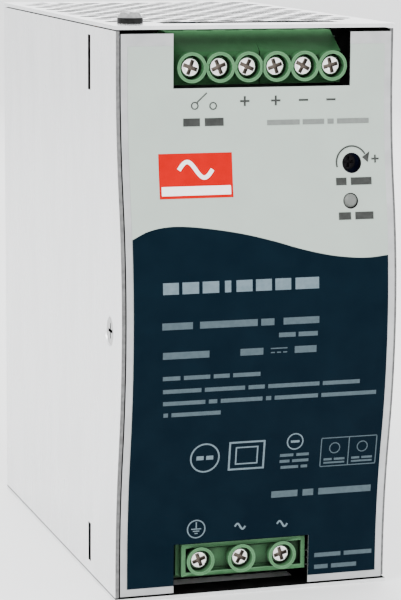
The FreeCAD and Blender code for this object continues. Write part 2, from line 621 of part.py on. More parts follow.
def terminal_clamp(kind, index, up):
    """One rising clamp: a ring that the wire goes through, threaded in front for the screw."""
    body = new_body(f"{kind}_clamp_{index + 1}")
    x = pole_x(kind, index)
    box(body, around(x, f"{kind}_cage"), ("terminal_cage_front", "terminal_cage_rear"),
        from_axis(kind, up, f"-{kind}_cage", f"{kind}_cage"))
    box(body, around(x, f"{kind}_cage - {kind}_cage_wall"),
        ("terminal_cage_front + terminal_front_bar", "terminal_cage_rear - terminal_rear_bar"),
        from_axis(kind, up, f"-{kind}_cage - cut_over", f"{kind}_cage + cut_over"), cut=True)
    rod(body, (x, "terminal_cage_front - cut_over", f"{kind}_axis"), "y", "terminal_shank + screw_fit_play",
        "terminal_front_bar + 2 * cut_over", cut=True)


def terminal_pins(kind, count, up):
    """The fixed current strips, each bent back through the board."""
    body = new_body(f"{kind}_terminal_pins")
    for index in range(count):
        across = around(pole_x(kind, index), f"{kind}_strip")
        low = f"-{kind}_foot + terminal_strip_inset"
        high = f"{kind}_pocket - terminal_strip_play"
        box(body, across, ("terminal_strip_front", "terminal_strip_rear"),
            from_axis(kind, up, low, high))
        box(body, across,
            ("terminal_strip_front", "terminal_rear + terminal_board + terminal_pin_length"),
            from_axis(kind, up, low, f"{low} + terminal_strip"))


def terminal_board(kind, count, up):
    """The small board behind a terminal block, soldered to its pins."""
    body = new_body(f"{kind}_board")
    y = ("terminal_rear", "terminal_rear + terminal_board")
    box(body, (f"{kind}_board_left", f"{kind}_board_right"), y,
        (f"{kind}_board_low", f"{kind}_board_high"))
    low = f"-{kind}_foot + terminal_strip_inset"
    for index in range(count):
        box(body, around(pole_x(kind, index), f"{kind}_strip + terminal_strip_play"),
            ("terminal_rear - cut_over", "terminal_rear + terminal_board + cut_over"),
            from_axis(kind, up, f"{low} - terminal_strip_play",
                      f"{low} + terminal_strip + terminal_strip_play"), cut=True)


THROUGH_BRACKET = ("case_rear - cut_over", "rail_seat + cut_over")


def din_bracket():
    """Moulded rail bracket: the fixed hook above, the latch's channel below."""
    body = new_body("din_bracket")
    rail_top = "(rail_centre + rail_height / 2)"
    lip_front = "(rail_seat + rail_room)"
    box(body, around("0", "bracket_half_width"), ("case_rear", "rail_seat"),
        ("bracket_low", "bracket_high"))
    box(body, around("0", "bracket_half_width"), ("rail_seat - join_depth", f"{lip_front} + rail_lip"),
        (f"{rail_top} + rail_play", f"{rail_top} + bracket_hook_height"))
    box(body, around("0", "bracket_half_width"), (lip_front, f"{lip_front} + rail_lip"),
        (f"{rail_top} - rail_grip", f"{rail_top} + bracket_hook_height"))
    box(body, around("0", "bracket_channel"),
        ("case_rear - cut_over", "case_rear + bracket_channel_depth"),
        ("bracket_low - cut_over", "bracket_channel_top"), cut=True)
    box(body, around("0", "latch_tongue_half + latch_side_gap"), THROUGH_BRACKET,
        ("latch_tongue_low - latch_travel - latch_side_gap * 2", "latch_tongue_high + latch_side_gap"),
        cut=True)
    box(body, around("0", "latch_window_half - latch_side_gap"),
        ("case_rear + latch_side_gap", "case_rear + bracket_channel_depth + join_depth"),
        ("latch_post_low", "latch_post_high"))
    for side in (-1, 1):
        for level in ("low", "high"):
            start = (f"{side} * bracket_screw_x", "rail_seat", f"bracket_screw_{level}")
            cut_flat_seat(body, start, "-y")


def din_latch():
    """Sprung slide with the tongue that goes under the rail and a slot for a screwdriver."""
    body = new_body("din_latch")
    y = ("case_rear + latch_side_gap / 2", "case_rear + latch_side_gap / 2 + latch_thickness")
    lip_front = "(rail_seat + rail_room)"
    tongue = around("0", "latch_tongue_half")
    box(body, around("0", "latch_half_width"), y, ("latch_low", "latch_high"))
    box(body, tongue, (f"{y[1]} - join_depth", f"{lip_front} + rail_lip"),
        ("latch_tongue_low", "latch_tongue_high"))
    box(body, tongue, (lip_front, f"{lip_front} + rail_lip"),
        ("latch_tongue_low", "rail_centre - rail_height / 2 + rail_grip"))
    box(body, around("0", "latch_window_half"), THROUGH_BRACKET,
        ("latch_window_low", "latch_post_high + spring_length"), cut=True)
    box(body, around("0", "latch_half_width - latch_grip_side"), THROUGH_BRACKET,
        ("latch_low + latch_grip_place", "latch_low + latch_grip_place + latch_grip_slot"), cut=True)


def latch_spring():
    """Compression spring between the bracket's post and the top of the latch's window."""
    path = doc.addObject("Part::Helix", "SpringPath")
    bind(path, Radius="spring_coil", Height="spring_length - 2 * spring_end",
         Pitch="(spring_length - 2 * spring_end) / spring_turns")
    wire = doc.addObject("Part::Circle", "SpringWire")
    bind(wire, Radius="spring_wire")
    place(wire, "spring_coil", "0", "0", ALONG["-y"])
    coil = doc.addObject("Part::Sweep", "latch_spring")
    coil.Label = "latch_spring"
    coil.Sections = [wire]
    coil.Spine = (path, ["Edge1"])
    coil.Solid = True
    coil.Frenet = True
    place(coil, "0", "spring_y", "latch_post_high + spring_end")
    nodes.append(coil)


BOARD_FACE = "(board_left + board_thickness)"
POSTS = [(f"board_post_{y}", f"board_post_{z}") for y in ("front", "rear") for z in ("low", "high")]


def boards():
    """Main board on four posts beside the left wall, with the insulation behind it."""
    board = new_body("main_board")
    box(board, ("board_left", BOARD_FACE), ("board_front", "board_rear"), ("board_low", "board_high"))
    lining = new_body("insulation_sheet")
    box(lining, ("sheet_left", "sheet_left + sheet_thickness"), ("sheet_front", "sheet_rear"),
        ("sheet_low", "sheet_high"))
    posts = new_body("board_standoffs")
    wall = f"-{HALF} + case_sheet"
    for y, z in POSTS:
        rod(posts, (wall, y, z), "x", "board_post", f"board_left - ({wall})")
        rod(lining, ("sheet_left - cut_over", y, z), "x", "board_post + sheet_hole_play",
            "sheet_thickness + 2 * cut_over", cut=True)
        rod(board, ("board_left - cut_over", y, z), "x", "machine_screw_radius + screw_fit_play",
            "board_thickness + 2 * cut_over", cut=True)
        machine_screw("pan", BOARD_FACE, y, z, INTO["-x"])
    for y, z in POSTS:
        rod(posts, (f"{BOARD_FACE} - machine_screw_length - screw_fit_play", y, z), "x",
            "machine_screw_radius + screw_fit_play", "machine_screw_length", cut=True)


def trimmer_and_lamp():
    """The voltage trimmer and the indicator lamp on the small control board."""
    body = new_body("trimmer_body")
    box(body, around("trimmer_x", "trimmer_half"), ("trimmer_front", "trimmer_rear"),
        around("trimmer_z", "trimmer_half"))
    rod(body, ("trimmer_x", "trimmer_front - cut_over", "trimmer_z"), "y", "trimmer_rotor + trimmer_play",
        "trimmer_rotor_rear - trimmer_front + 1 + screw_fit_play", cut=True)
    rotor = new_body("trimmer_rotor")
    rod(rotor, ("trimmer_x", "trimmer_rotor_front", "trimmer_z"), "y", "trimmer_rotor",
        "trimmer_rotor_rear - trimmer_rotor_front")
    depth = ("trimmer_rotor_front - cut_over", "trimmer_rotor_front + trimmer_slot_depth")
    thin, wide = "trimmer_slot / 2", "trimmer_slot_reach"
    box(rotor, around("trimmer_x", thin), depth, around("trimmer_z", wide), cut=True)
    box(rotor, around("trimmer_x", wide), depth, around("trimmer_z", thin), cut=True)
    lamp = new_body("dc_ok_lamp")
    rod(lamp, ("lamp_x", "lamp_tip", "lamp_z"), "y", "lamp_crown", "lamp_radius / 2",
        far_radius="lamp_radius")
    rod(lamp, ("lamp_x", "lamp_tip + lamp_radius / 2", "lamp_z"), "y", "lamp_radius",
        "lamp_rear - lamp_tip - lamp_radius / 2")
    rod(lamp, ("lamp_x", "lamp_rear - lamp_flange_length", "lamp_z"), "y", "lamp_flange",
        "lamp_flange_length")
    for side in (-1, 1):
        rod(lamp, (f"lamp_x + {side} * lamp_leg_spacing", "lamp_rear - join_depth", "lamp_z"), "y",
            "lamp_leg", "control_front - lamp_rear + join_depth")
    board = new_body("control_board")
    box(board, ("control_left", "control_right"), ("control_front", "control_front + control_thickness"),
        ("control_low", "control_high"))


def toroid(label, kind, turns_label):
    """A ring core on the board, axis across the board, with a winding round each half."""
    core = new_body(label)
    centre = (f"{BOARD_FACE} + filter_base", f"{kind}_y", f"{kind}_z")
    rod(core, centre, "x", f"{kind}_outer", f"{kind}_height")
    rod(core, (f"{centre[0]} - cut_over", *centre[1:]), "x", f"{kind}_inner",
        f"{kind}_height + 2 * cut_over", cut=True)
    winding = new_body(turns_label)
    start = f"{centre[0]} - {kind}_wire"
    length = f"{kind}_height + 2 * {kind}_wire"
    rod(winding, (start, *centre[1:]), "x", f"{kind}_outer + {kind}_wire", length)
    rod(winding, (f"{start} - cut_over", *centre[1:]), "x", f"{kind}_inner - {kind}_wire",
        f"{length} + 2 * cut_over", cut=True)
    hollow = (f"{centre[0]} - screw_fit_play", *centre[1:])
    rod(winding, hollow, "x", f"{kind}_outer + screw_fit_play",
        f"{kind}_height + 2 * screw_fit_play", cut=True)
    box(winding, (f"{start} - cut_over", f"{start} + ({length}) + cut_over"),
        around(f"{kind}_y", "filter_spread"),
        around(f"{kind}_z", f"{kind}_outer + {kind}_wire + cut_over"), cut=True)


def power_screw(kind, y, z, turn, drilled):
    """Screw one power device to its heat sink, with a hole through both."""
    x = f"{kind}_x + {kind}_height * power_screw_place"
    machine_screw("pan", x, y, z, turn)
    for body in drilled:
        rod(body, (x, y, "-cut_over"), "z", "machine_screw_radius + screw_fit_play",
            "case_height + 2 * cut_over", cut=True)


def places(kind, axis="y", first="", spacing="spacing", number="count"):
    """Return the positions of a row of equal parts as expressions."""
    start = first or f"{kind}_{axis}"
    return [f"({start} + {index} * {kind}_{spacing})" for index in range(int(value_of(f"{kind}_{number}")))]


def power_parts():
    """What the board carries: mains filter, power factor stage, transformer and output filter."""
    fuse = new_body("fuse")
    start = ("fuse_x", "fuse_y", "fuse_low")
    rod(fuse, start, "z", "fuse_radius", "fuse_length")
    rod(fuse, start, "z", "fuse_cap_radius", "fuse_cap")
    rod(fuse, ("fuse_x", "fuse_y", "fuse_low + fuse_length - fuse_cap"), "z", "fuse_cap_radius",
        "fuse_cap")
    for end in ("fuse_cap / 2", "fuse_length - fuse_cap / 2"):
        box(fuse, (BOARD_FACE, "fuse_x"), around("fuse_y", "fuse_cap / 4"),
            around(f"fuse_low + {end}", "fuse_cap / 4"))

    thermistor = new_body("inrush_thermistor")
    rod(thermistor, ("thermistor_x", "thermistor_y", "thermistor_z"), "y", "thermistor_radius",
        "thermistor_thickness")
    box(thermistor, (BOARD_FACE, "thermistor_x"),
        ("thermistor_y + lead_offset", "thermistor_y + lead_offset + lead_thickness"),
        around("thermistor_z", "lead_half"))

    xcap = new_body("x_capacitor")
    box(xcap, (BOARD_FACE, f"{BOARD_FACE} + xcap_height"), around("xcap_y", "xcap_width / 2"),
        around("xcap_z", "xcap_length / 2"))

    ycaps = new_body("y_capacitors")
    for z in places("ycap", first="ycap_first_z"):
        rod(ycaps, ("ycap_x", "ycap_y", z), "y", "ycap_radius", "ycap_thickness")
        box(ycaps, (BOARD_FACE, "ycap_x"),
            ("ycap_y + lead_offset", "ycap_y + lead_offset + lead_thickness"), around(z, "lead_half"))

    toroid("filter_choke_core", "filter", "filter_choke_winding")
    toroid("pfc_inductor_core", "pfc", "pfc_inductor_winding")

    cooler = new_body("primary_heatsink")
    box(cooler, (BOARD_FACE, "cooler_right"), ("cooler_front", "cooler_rear"),
        ("cooler_low - cooler_thickness", "cooler_low"))
    under = "cooler_low - cooler_thickness"
    transistors = new_body("primary_transistors")
    for y in places("mosfet"):
        box(transistors, ("mosfet_x", "mosfet_x + mosfet_height"), around(y, "mosfet_width / 2"),
            (f"{under} - mosfet_thickness", under))
        box(transistors, (BOARD_FACE, "mosfet_x"), around(y, "mosfet_width / 4"),
            (f"{under} - mosfet_thickness / 2 - lead_thickness", f"{under} - mosfet_thickness / 2"))
        power_screw("mosfet", y, f"{under} - mosfet_thickness", INTO["z"], (transistors, cooler))
    bridge = new_body("bridge_rectifier")
    box(bridge, ("bridge_x", "bridge_x + bridge_height"), around("bridge_y", "bridge_width / 2"),
        (f"{under} - bridge_thickness", under))
    box(bridge, (BOARD_FACE, "bridge_x"), around("bridge_y", "bridge_width / 3"),
        (f"{under} - bridge_thickness / 2 - lead_thickness", f"{under} - bridge_thickness / 2"))

    bulk = new_body("bulk_capacitor")
    rod(bulk, (BOARD_FACE, "bulk_y", "bulk_z"), "x", "bulk_radius", "bulk_length")
    ring = (f"{BOARD_FACE} + bulk_length - bulk_groove_place", "bulk_y", "bulk_z")
    rod(bulk, ring, "x", "bulk_radius + cut_over", "bulk_groove * 2", cut=True)
    rod(bulk, ring, "x", "bulk_radius - bulk_groove", "bulk_groove * 2")

    transformer()

    plate = new_body("secondary_heatsink")
    top = "(rectifier_cooler_low + rectifier_cooler_thickness)"
    box(plate, (BOARD_FACE, "rectifier_cooler_right"), ("rectifier_cooler_front", "rectifier_cooler_rear"),
        ("rectifier_cooler_low", top))
    rectifiers = new_body("output_rectifiers")
    for y in places("rectifier"):
        box(rectifiers, ("rectifier_x", "rectifier_x + rectifier_height"),
            around(y, "rectifier_width / 2"), (top, f"{top} + rectifier_thickness"))
        box(rectifiers, (BOARD_FACE, "rectifier_x"), around(y, "rectifier_width / 4"),
            (f"{top} + rectifier_thickness / 2", f"{top} + rectifier_thickness / 2 + lead_thickness"))
        power_screw("rectifier", y, f"{top} + rectifier_thickness", INTO["-z"], (rectifiers, plate))
    outputs = new_body("output_capacitors")
    for y in places("outcap", number="columns"):
        for z in places("outcap", first="outcap_first_z", spacing="z_spacing", number="rows"):
            rod(outputs, (BOARD_FACE, y, z), "x", "outcap_radius", "outcap_length")
    inductor = new_body("output_inductor")
    rod(inductor, (BOARD_FACE, "coil_y", "coil_z"), "x", "coil_outer", "coil_height")
    rod(inductor, (BOARD_FACE, "coil_y", "coil_z"), "x", "coil_inner", "coil_height", cut=True)
    relay = new_body("output_relay")
    box(relay, (BOARD_FACE, f"{BOARD_FACE} + relay_length"), around("relay_y", "relay_width / 2"),
        around("relay_z", "relay_height / 2"))


def transformer():
    """E-core pair round a wound bobbin."""
    core = new_body("transformer_core")
    right = f"{BOARD_FACE} + core_play + core_height"
    x = (f"{BOARD_FACE} + core_play", right)
    y, z = around("core_y", "core_width / 2"), around("core_z", "core_depth / 2")
    box(core, x, y, z)
    gap_x = (f"{x[0]} + core_yoke", f"{right} - core_yoke")
    for side in (-1, 1):
        inner = f"core_y + {side} * core_leg"
        outer = f"core_y + {side} * (core_width / 2 - core_leg)"
        box(core, gap_x, sorted((inner, outer), key=value_of),
            around("core_z", "core_depth"), cut=True)
    winding = new_body("transformer_winding")
    inside = (f"{gap_x[0]} + core_play", f"{gap_x[1]} - core_play")
    box(winding, inside, around("core_y", "core_width / 2 - core_leg - core_play"),
        around("core_z", "core_depth / 2 + core_overhang"))
    box(winding, (f"{inside[0]} - cut_over", f"{inside[1]} + cut_over"),
        around("core_y", "core_leg + core_play"),
        around("core_z", "core_depth / 2 + core_play"), cut=True)


def check(things):
    """Stop if any object failed to compute or any node's shape is empty or invalid."""
    for thing in doc.Objects:
        if "Invalid" in thing.State or "Error" in thing.State:
            raise RuntimeError(f"{thing.Label} failed: {thing.State}")
    for thing in things:
        if thing.Shape.isNull() or not thing.Shape.isValid() or thing.Shape.Volume <= 0:
            raise RuntimeError(f"{thing.Label} has no valid shape")


fill_sheet()
chassis_shell()
covers()
front_panel()
front_label()
case_screws()
for terminal_kind, (poles, upwards) in TERMINALS.items():
    terminal_housing(terminal_kind, poles, upwards)
    for pole in range(poles):
        terminal_screw(terminal_kind, pole)
        terminal_clamp(terminal_kind, pole, upwards)
    terminal_pins(terminal_kind, poles, upwards)
    terminal_board(terminal_kind, poles, upwards)
din_bracket()
din_latch()
latch_spring()
boards()
trimmer_and_lamp()
power_parts()
for head_shape, pieces in screws.items():
    group(f"{head_shape}_head_screws", pieces)
doc.recompute()
check(nodes)

os.makedirs("parts", exist_ok=True)
for node in nodes:
    node.Shape.exportStep(f"parts/{node.Label}.step")
    print(f"{node.Label}: {len(node.Shape.Solids)} solids, {node.Shape.Volume:.1f} mm3")
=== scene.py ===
"""Looks of the DIN rail power supply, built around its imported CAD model. Metres, the CAD's frame."""
import json
import math

import bmesh
import bpy
from mathutils import Matrix, Vector


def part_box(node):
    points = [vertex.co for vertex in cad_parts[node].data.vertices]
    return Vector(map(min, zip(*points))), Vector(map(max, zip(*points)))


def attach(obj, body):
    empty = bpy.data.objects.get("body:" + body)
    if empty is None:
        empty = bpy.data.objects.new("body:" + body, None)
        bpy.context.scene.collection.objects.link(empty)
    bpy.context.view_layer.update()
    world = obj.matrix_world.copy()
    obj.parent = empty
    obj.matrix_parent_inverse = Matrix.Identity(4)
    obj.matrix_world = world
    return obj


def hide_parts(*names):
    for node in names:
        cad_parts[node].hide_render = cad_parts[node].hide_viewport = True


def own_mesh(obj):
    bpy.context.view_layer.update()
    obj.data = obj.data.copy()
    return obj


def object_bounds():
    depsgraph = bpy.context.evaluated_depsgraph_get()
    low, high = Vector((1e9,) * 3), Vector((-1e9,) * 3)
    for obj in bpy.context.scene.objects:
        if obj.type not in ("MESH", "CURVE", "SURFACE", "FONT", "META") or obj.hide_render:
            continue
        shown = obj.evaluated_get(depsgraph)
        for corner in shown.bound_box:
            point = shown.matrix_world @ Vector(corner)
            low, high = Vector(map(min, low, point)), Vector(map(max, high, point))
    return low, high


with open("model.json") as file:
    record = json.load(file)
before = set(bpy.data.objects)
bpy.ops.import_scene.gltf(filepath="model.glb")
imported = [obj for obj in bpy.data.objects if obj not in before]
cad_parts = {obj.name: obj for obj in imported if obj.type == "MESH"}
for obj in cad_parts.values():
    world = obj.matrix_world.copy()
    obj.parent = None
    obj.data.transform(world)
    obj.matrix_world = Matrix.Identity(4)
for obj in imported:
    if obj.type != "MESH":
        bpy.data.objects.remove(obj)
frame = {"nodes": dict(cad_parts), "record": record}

cad_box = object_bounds()

MM = 0.001
BODY_OF = {node: body for body, nodes in frame["record"]["behaviour"]["bodies"].items()
           for node in nodes}


# ---------------------------------------------------------------- camera and light

def aim(yaw, pitch, roll):
    """Turn a camera: yaw from +Y towards +X, pitch downwards, roll about its own axis."""
    ahead = Vector((math.sin(yaw) * math.cos(pitch), math.cos(yaw) * math.cos(pitch),
                    -math.sin(pitch)))
    right = Vector((math.cos(yaw), -math.sin(yaw), 0))
    up = right.cross(ahead)
    level = math.cos(roll) * right + math.sin(roll) * up
    upright = math.cos(roll) * up - math.sin(roll) * right
    return Matrix((level, upright, -ahead)).transposed().to_4x4()


camera = bpy.data.objects.new("Camera", bpy.data.cameras.new("Camera"))
camera.data.sensor_fit = "VERTICAL"
camera.data.sensor_height = 36
camera.data.lens = 144.7
camera.data.clip_start = 0.01
camera.matrix_world = (Matrix.Translation((-0.1653, -0.5448, 0.1535))
                       @ aim(math.radians(17.34), math.radians(9.66), math.radians(0.39)))
bpy.context.scene.collection.objects.link(camera)
bpy.context.scene.camera = camera


def softbox(name, place, target, size, watts):
    """Add a rectangular lamp that faces a point."""
    lamp = bpy.data.lights.new(name, "AREA")
    lamp.shape = "RECTANGLE"
    lamp.size, lamp.size_y = size
    lamp.energy = watts
    holder = bpy.data.objects.new(name, lamp)
    holder.location = place
    holder.rotation_euler = (Vector(target) - Vector(place)).to_track_quat("-Z", "Y").to_euler()
    bpy.context.scene.collection.objects.link(holder)


MIDDLE = (0, 0, 0.06)
softbox("KeyLight", (-0.95, -0.35, 0.75), MIDDLE, (0.6, 0.6), 14)
softbox("FillLight", (0.75, -0.8, 0.45), MIDDLE, (0.5, 0.5), 3)
softbox("TopLight", (0.0, 0.15, 1.0), MIDDLE, (0.8, 0.8), 4)
softbox("BackLight", (0.3, 0.9, 0.5), MIDDLE, (0.8, 0.5), 3)

world = bpy.data.worlds.new("Studio")
bpy.context.scene.world = world
world.use_nodes = True
world.node_tree.nodes["Background"].inputs["Color"].default_value = (0.98, 0.99, 1.0, 1)
world.node_tree.nodes["Background"].inputs["Strength"].default_value = 2.3


# ---------------------------------------------------------------- materials

def material(name, colour, other, rough, metallic=0.0, grain=300, stretch=(1, 1, 1), bump=0.1,
             bump_grain=1500, spread=0.1, coat=0.0, worn=None, specular=0.5, shade_reach=None):
    """Make a finish whose colour and gloss drift with a soft noise, with a finer one in relief.

    worn is the colour of rubbed edges; shade_reach is how far off a surface must be to keep a corner free of
    painted shade.
    """
    finish = bpy.data.materials.new(name)
    finish.use_nodes = True
    nodes, links = finish.node_tree.nodes, finish.node_tree.links
    shader = nodes["Principled BSDF"]
    shader.inputs["Metallic"].default_value = metallic
    shader.inputs["Coat Weight"].default_value = coat
    shader.inputs["Coat Roughness"].default_value = 0.12
    shader.inputs["Specular IOR Level"].default_value = specular
    where = nodes.new("ShaderNodeTexCoord")
    mapping = nodes.new("ShaderNodeMapping")
    mapping.inputs["Scale"].default_value = stretch
    links.new(where.outputs["Object"], mapping.inputs["Vector"])

    def noise(scale, detail):
        texture = nodes.new("ShaderNodeTexNoise")
        texture.inputs["Scale"].default_value = scale
        texture.inputs["Detail"].default_value = detail
        links.new(mapping.outputs["Vector"], texture.inputs["Vector"])
        return texture.outputs["Fac"]

    soft = noise(grain, 3)
    ramp = nodes.new("ShaderNodeValToRGB")
    ramp.color_ramp.elements[0].position = 0.35
    ramp.color_ramp.elements[0].color = (*colour, 1)
    ramp.color_ramp.elements[1].position = 0.65
    ramp.color_ramp.elements[1].color = (*other, 1)
    links.new(soft, ramp.inputs["Fac"])
    paint = ramp.outputs["Color"]
    if worn:
        rounded = nodes.new("ShaderNodeBevel")
        rounded.samples = 4
        rounded.inputs["Radius"].default_value = 0.25 * MM
        flat = nodes.new("ShaderNodeNewGeometry")
        match = nodes.new("ShaderNodeVectorMath")
        match.operation = "DOT_PRODUCT"
        links.new(rounded.outputs["Normal"], match.inputs[0])
        links.new(flat.outputs["Normal"], match.inputs[1])
        edge = nodes.new("ShaderNodeMapRange")
        edge.inputs["From Min"].default_value = 0.97
        edge.inputs["From Max"].default_value = 0.75
        links.new(match.outputs["Value"], edge.inputs["Value"])
        mix = nodes.new("ShaderNodeMix")
        mix.data_type = "RGBA"
        mix.inputs["B"].default_value = (*worn, 1)
        links.new(edge.outputs["Result"], mix.inputs["Factor"])
        links.new(paint, mix.inputs["A"])
        paint = mix.outputs["Result"]
    # Painted shade: the colour goes to near black where other surfaces lie within shade_reach, in corners,
    # recesses and inside the case.
    if shade_reach:
        occlusion = nodes.new("ShaderNodeAmbientOcclusion")
        occlusion.samples = 6
        occlusion.inputs["Distance"].default_value = shade_reach * MM
        open_share = nodes.new("ShaderNodeMapRange")
        open_share.inputs["From Min"].default_value = 0.15
        open_share.inputs["From Max"].default_value = 0.85
        links.new(occlusion.outputs["AO"], open_share.inputs["Value"])
        painted_shade = nodes.new("ShaderNodeMix")
        painted_shade.data_type = "RGBA"
        painted_shade.inputs["A"].default_value = (0.004, 0.004, 0.004, 1)
        links.new(open_share.outputs["Result"], painted_shade.inputs["Factor"])
        links.new(paint, painted_shade.inputs["B"])
        paint = painted_shade.outputs["Result"]
    links.new(paint, shader.inputs["Base Color"])
    gloss = nodes.new("ShaderNodeMapRange")
    gloss.inputs["To Min"].default_value = max(rough - spread, 0.03)
    gloss.inputs["To Max"].default_value = rough + spread
    links.new(soft, gloss.inputs["Value"])
    links.new(gloss.outputs["Result"], shader.inputs["Roughness"])
    relief = nodes.new("ShaderNodeBump")
    relief.inputs["Strength"].default_value = bump
    relief.inputs["Distance"].default_value = 0.05 * MM
    links.new(noise(bump_grain, 2), relief.inputs["Height"])
    links.new(relief.outputs["Normal"], shader.inputs["Normal"])
    return finish


# Finishes given shade_reach get painted shade in corners and recesses; inside the case it paints the parts
# nearly black.
SHEET = material("zinc_sheet", (0.76, 0.765, 0.77), (0.82, 0.825, 0.83), 0.27, 1, grain=180,
                 stretch=(1, 1, 0.25), bump=0.12, bump_grain=2600, spread=0.07)
PANEL = material("front_sheet", (0.38, 0.385, 0.39), (0.44, 0.445, 0.45), 0.34, 0.8, grain=250,
                 bump=0.08, bump_grain=3000, spread=0.05)
# Painted shade: near black for the sheet faces turned into the case, hole and slit walls, tongues, flanges
# and notch edges.
SHADE_BLACK = material("unlit_sheet", (0.003, 0.003, 0.003), (0.006, 0.006, 0.006), 0.8, grain=300,
                  specular=0.0)
# Painted shade: the sheared front edges of the side walls are painted dark grey.
SHADED_EDGE = material("cut_edge", (0.1, 0.1, 0.1), (0.16, 0.16, 0.16), 0.5, grain=900, specular=0.1)
FILM = material("label_film", (0.335, 0.39, 0.35), (0.35, 0.41, 0.365), 0.42, grain=120,
                bump=0.06, bump_grain=4000, spread=0.05, specular=0.12)
NAVY = material("navy_ink", (0.0012, 0.0055, 0.0105), (0.0018, 0.007, 0.0125), 0.4, grain=150,
                bump=0.06, bump_grain=4000, spread=0.05, specular=0.02)
DARK_INK = material("dark_ink", (0.03, 0.032, 0.03), (0.042, 0.044, 0.042), 0.5, grain=900,
                    bump=0.05, specular=0.05)
SOFT_INK = material("pale_ink", (0.05, 0.073, 0.086), (0.06, 0.086, 0.1), 0.5, grain=900,
                    bump=0.05, specular=0.05)
MARK_INK = material("mark_ink", (0.1, 0.142, 0.165), (0.12, 0.165, 0.19), 0.5, grain=900,
                    bump=0.05, specular=0.05)
GREY_INK = material("grey_ink", (0.14, 0.152, 0.143), (0.165, 0.178, 0.168), 0.5, grain=900,
                    bump=0.05, specular=0.05)
WHITE_INK = material("white_ink", (0.84, 0.85, 0.85), (0.9, 0.9, 0.9), 0.5, grain=900,
                     bump=0.05, specular=0.1)
RED_INK = material("red_ink", (0.4, 0.001, 0.0015), (0.44, 0.001, 0.002), 0.42, grain=300,
                   bump=0.05, specular=0.0)
# One polyamide in two copies: GREEN is the darker one, LIT_GREEN a paler copy with painted light for faces
# that catch the light.
GREEN = material("green_polyamide", (0.034, 0.108, 0.042), (0.04, 0.124, 0.05), 0.6, grain=500, bump=0.2,
                 bump_grain=5000, worn=(0.1, 0.24, 0.12), specular=0.02, shade_reach=4)
LIT_GREEN = material("lit_polyamide", (0.05, 0.14, 0.06), (0.065, 0.17, 0.075), 0.45, grain=500, bump=0.2,
                     bump_grain=5000, worn=(0.14, 0.3, 0.16), specular=0.1, shade_reach=3)
NICKEL = material("nickel_screw", (0.8, 0.79, 0.76), (0.88, 0.87, 0.85), 0.2, 1, grain=1200, bump=0.15,
                  bump_grain=4000, spread=0.08)
ZINC = material("zinc_screw", (0.25, 0.25, 0.25), (0.35, 0.35, 0.35), 0.16, 1, grain=900, bump=0.1,
                bump_grain=3000, spread=0.06, shade_reach=1.2)
# Painted reflection: the pan heads' upright sides are painted near black, standing for the dark surroundings
# they mirror.
RIM_REFLECTION = material("screw_rim", (0.004, 0.004, 0.004), (0.012, 0.012, 0.012), 0.3, grain=900, specular=0.1)
# Painted shade: dark brownish steel for the clamp screws' cross recesses.
PAINTED_RECESS_SHADE = material("recess_steel", (0.09, 0.075, 0.06), (0.16, 0.13, 0.11), 0.45, 0.8, grain=2500, bump=0.3)
STEEL = material("plated_clamp", (0.5, 0.5, 0.49), (0.62, 0.62, 0.6), 0.35, 1, grain=700,
                 bump=0.2, shade_reach=12)
TINNED = material("tinned_strip", (0.68, 0.64, 0.55), (0.78, 0.74, 0.66), 0.3, 1, grain=500,
                  shade_reach=20)
BOARD = material("solder_mask", (0.02, 0.12, 0.05), (0.03, 0.16, 0.07), 0.35, grain=350,
                 coat=0.4, shade_reach=25)
BLACK = material("black_polyamide", (0.008, 0.008, 0.009), (0.012, 0.012, 0.013), 0.45,
                 grain=500, bump=0.3, bump_grain=4000, worn=(0.04, 0.04, 0.04), specular=0.2)
SPRING = material("spring_wire", (0.4, 0.4, 0.41), (0.55, 0.55, 0.55), 0.25, 1, grain=900)
AMBER = material("amber_film", (0.55, 0.45, 0.2), (0.62, 0.52, 0.25), 0.25, grain=90, coat=0.5,
                 shade_reach=30)
BLUE = material("trimmer_blue", (0.004, 0.006, 0.02), (0.006, 0.009, 0.028), 0.4, grain=700,
                specular=0.1)
LAMP = material("lamp_epoxy", (0.115, 0.123, 0.115), (0.13, 0.138, 0.13), 0.45, grain=600,
                specular=0.2)
ALUMINIUM = material("heatsink_aluminium", (0.62, 0.63, 0.64), (0.72, 0.73, 0.74), 0.35, 1,
                     grain=300, stretch=(1, 0.08, 1), bump=0.2, shade_reach=30)
FERRITE = material("grey_ferrite", (0.035, 0.035, 0.04), (0.07, 0.07, 0.075), 0.6, grain=500, bump=0.3)
COPPER = material("enamelled_copper", (0.5, 0.17, 0.06), (0.62, 0.24, 0.09), 0.25, 1, grain=600)
TAPE = material("yellow_tape", (0.6, 0.42, 0.05), (0.7, 0.5, 0.08), 0.35, grain=400, coat=0.3,
                shade_reach=30)
SLEEVE = material("capacitor_sleeve", (0.015, 0.02, 0.05), (0.025, 0.03, 0.07), 0.3, grain=300, coat=0.4)
YELLOW = material("capacitor_yellow", (0.62, 0.48, 0.06), (0.7, 0.55, 0.09), 0.45, grain=400,
                  shade_reach=30)
CERAMIC = material("blue_ceramic", (0.02, 0.09, 0.3), (0.04, 0.13, 0.38), 0.4, grain=600)
GLAZE = material("glazed_ceramic", (0.75, 0.74, 0.7), (0.82, 0.81, 0.77), 0.25, grain=500,
                 coat=0.5, shade_reach=30)
CHIP = material("chip_epoxy", (0.007, 0.006, 0.008), (0.011, 0.01, 0.012), 0.55, grain=900,
                bump=0.3, specular=0.1)
RELAY = material("relay_case", (0.03, 0.07, 0.14), (0.05, 0.09, 0.17), 0.4, grain=500)

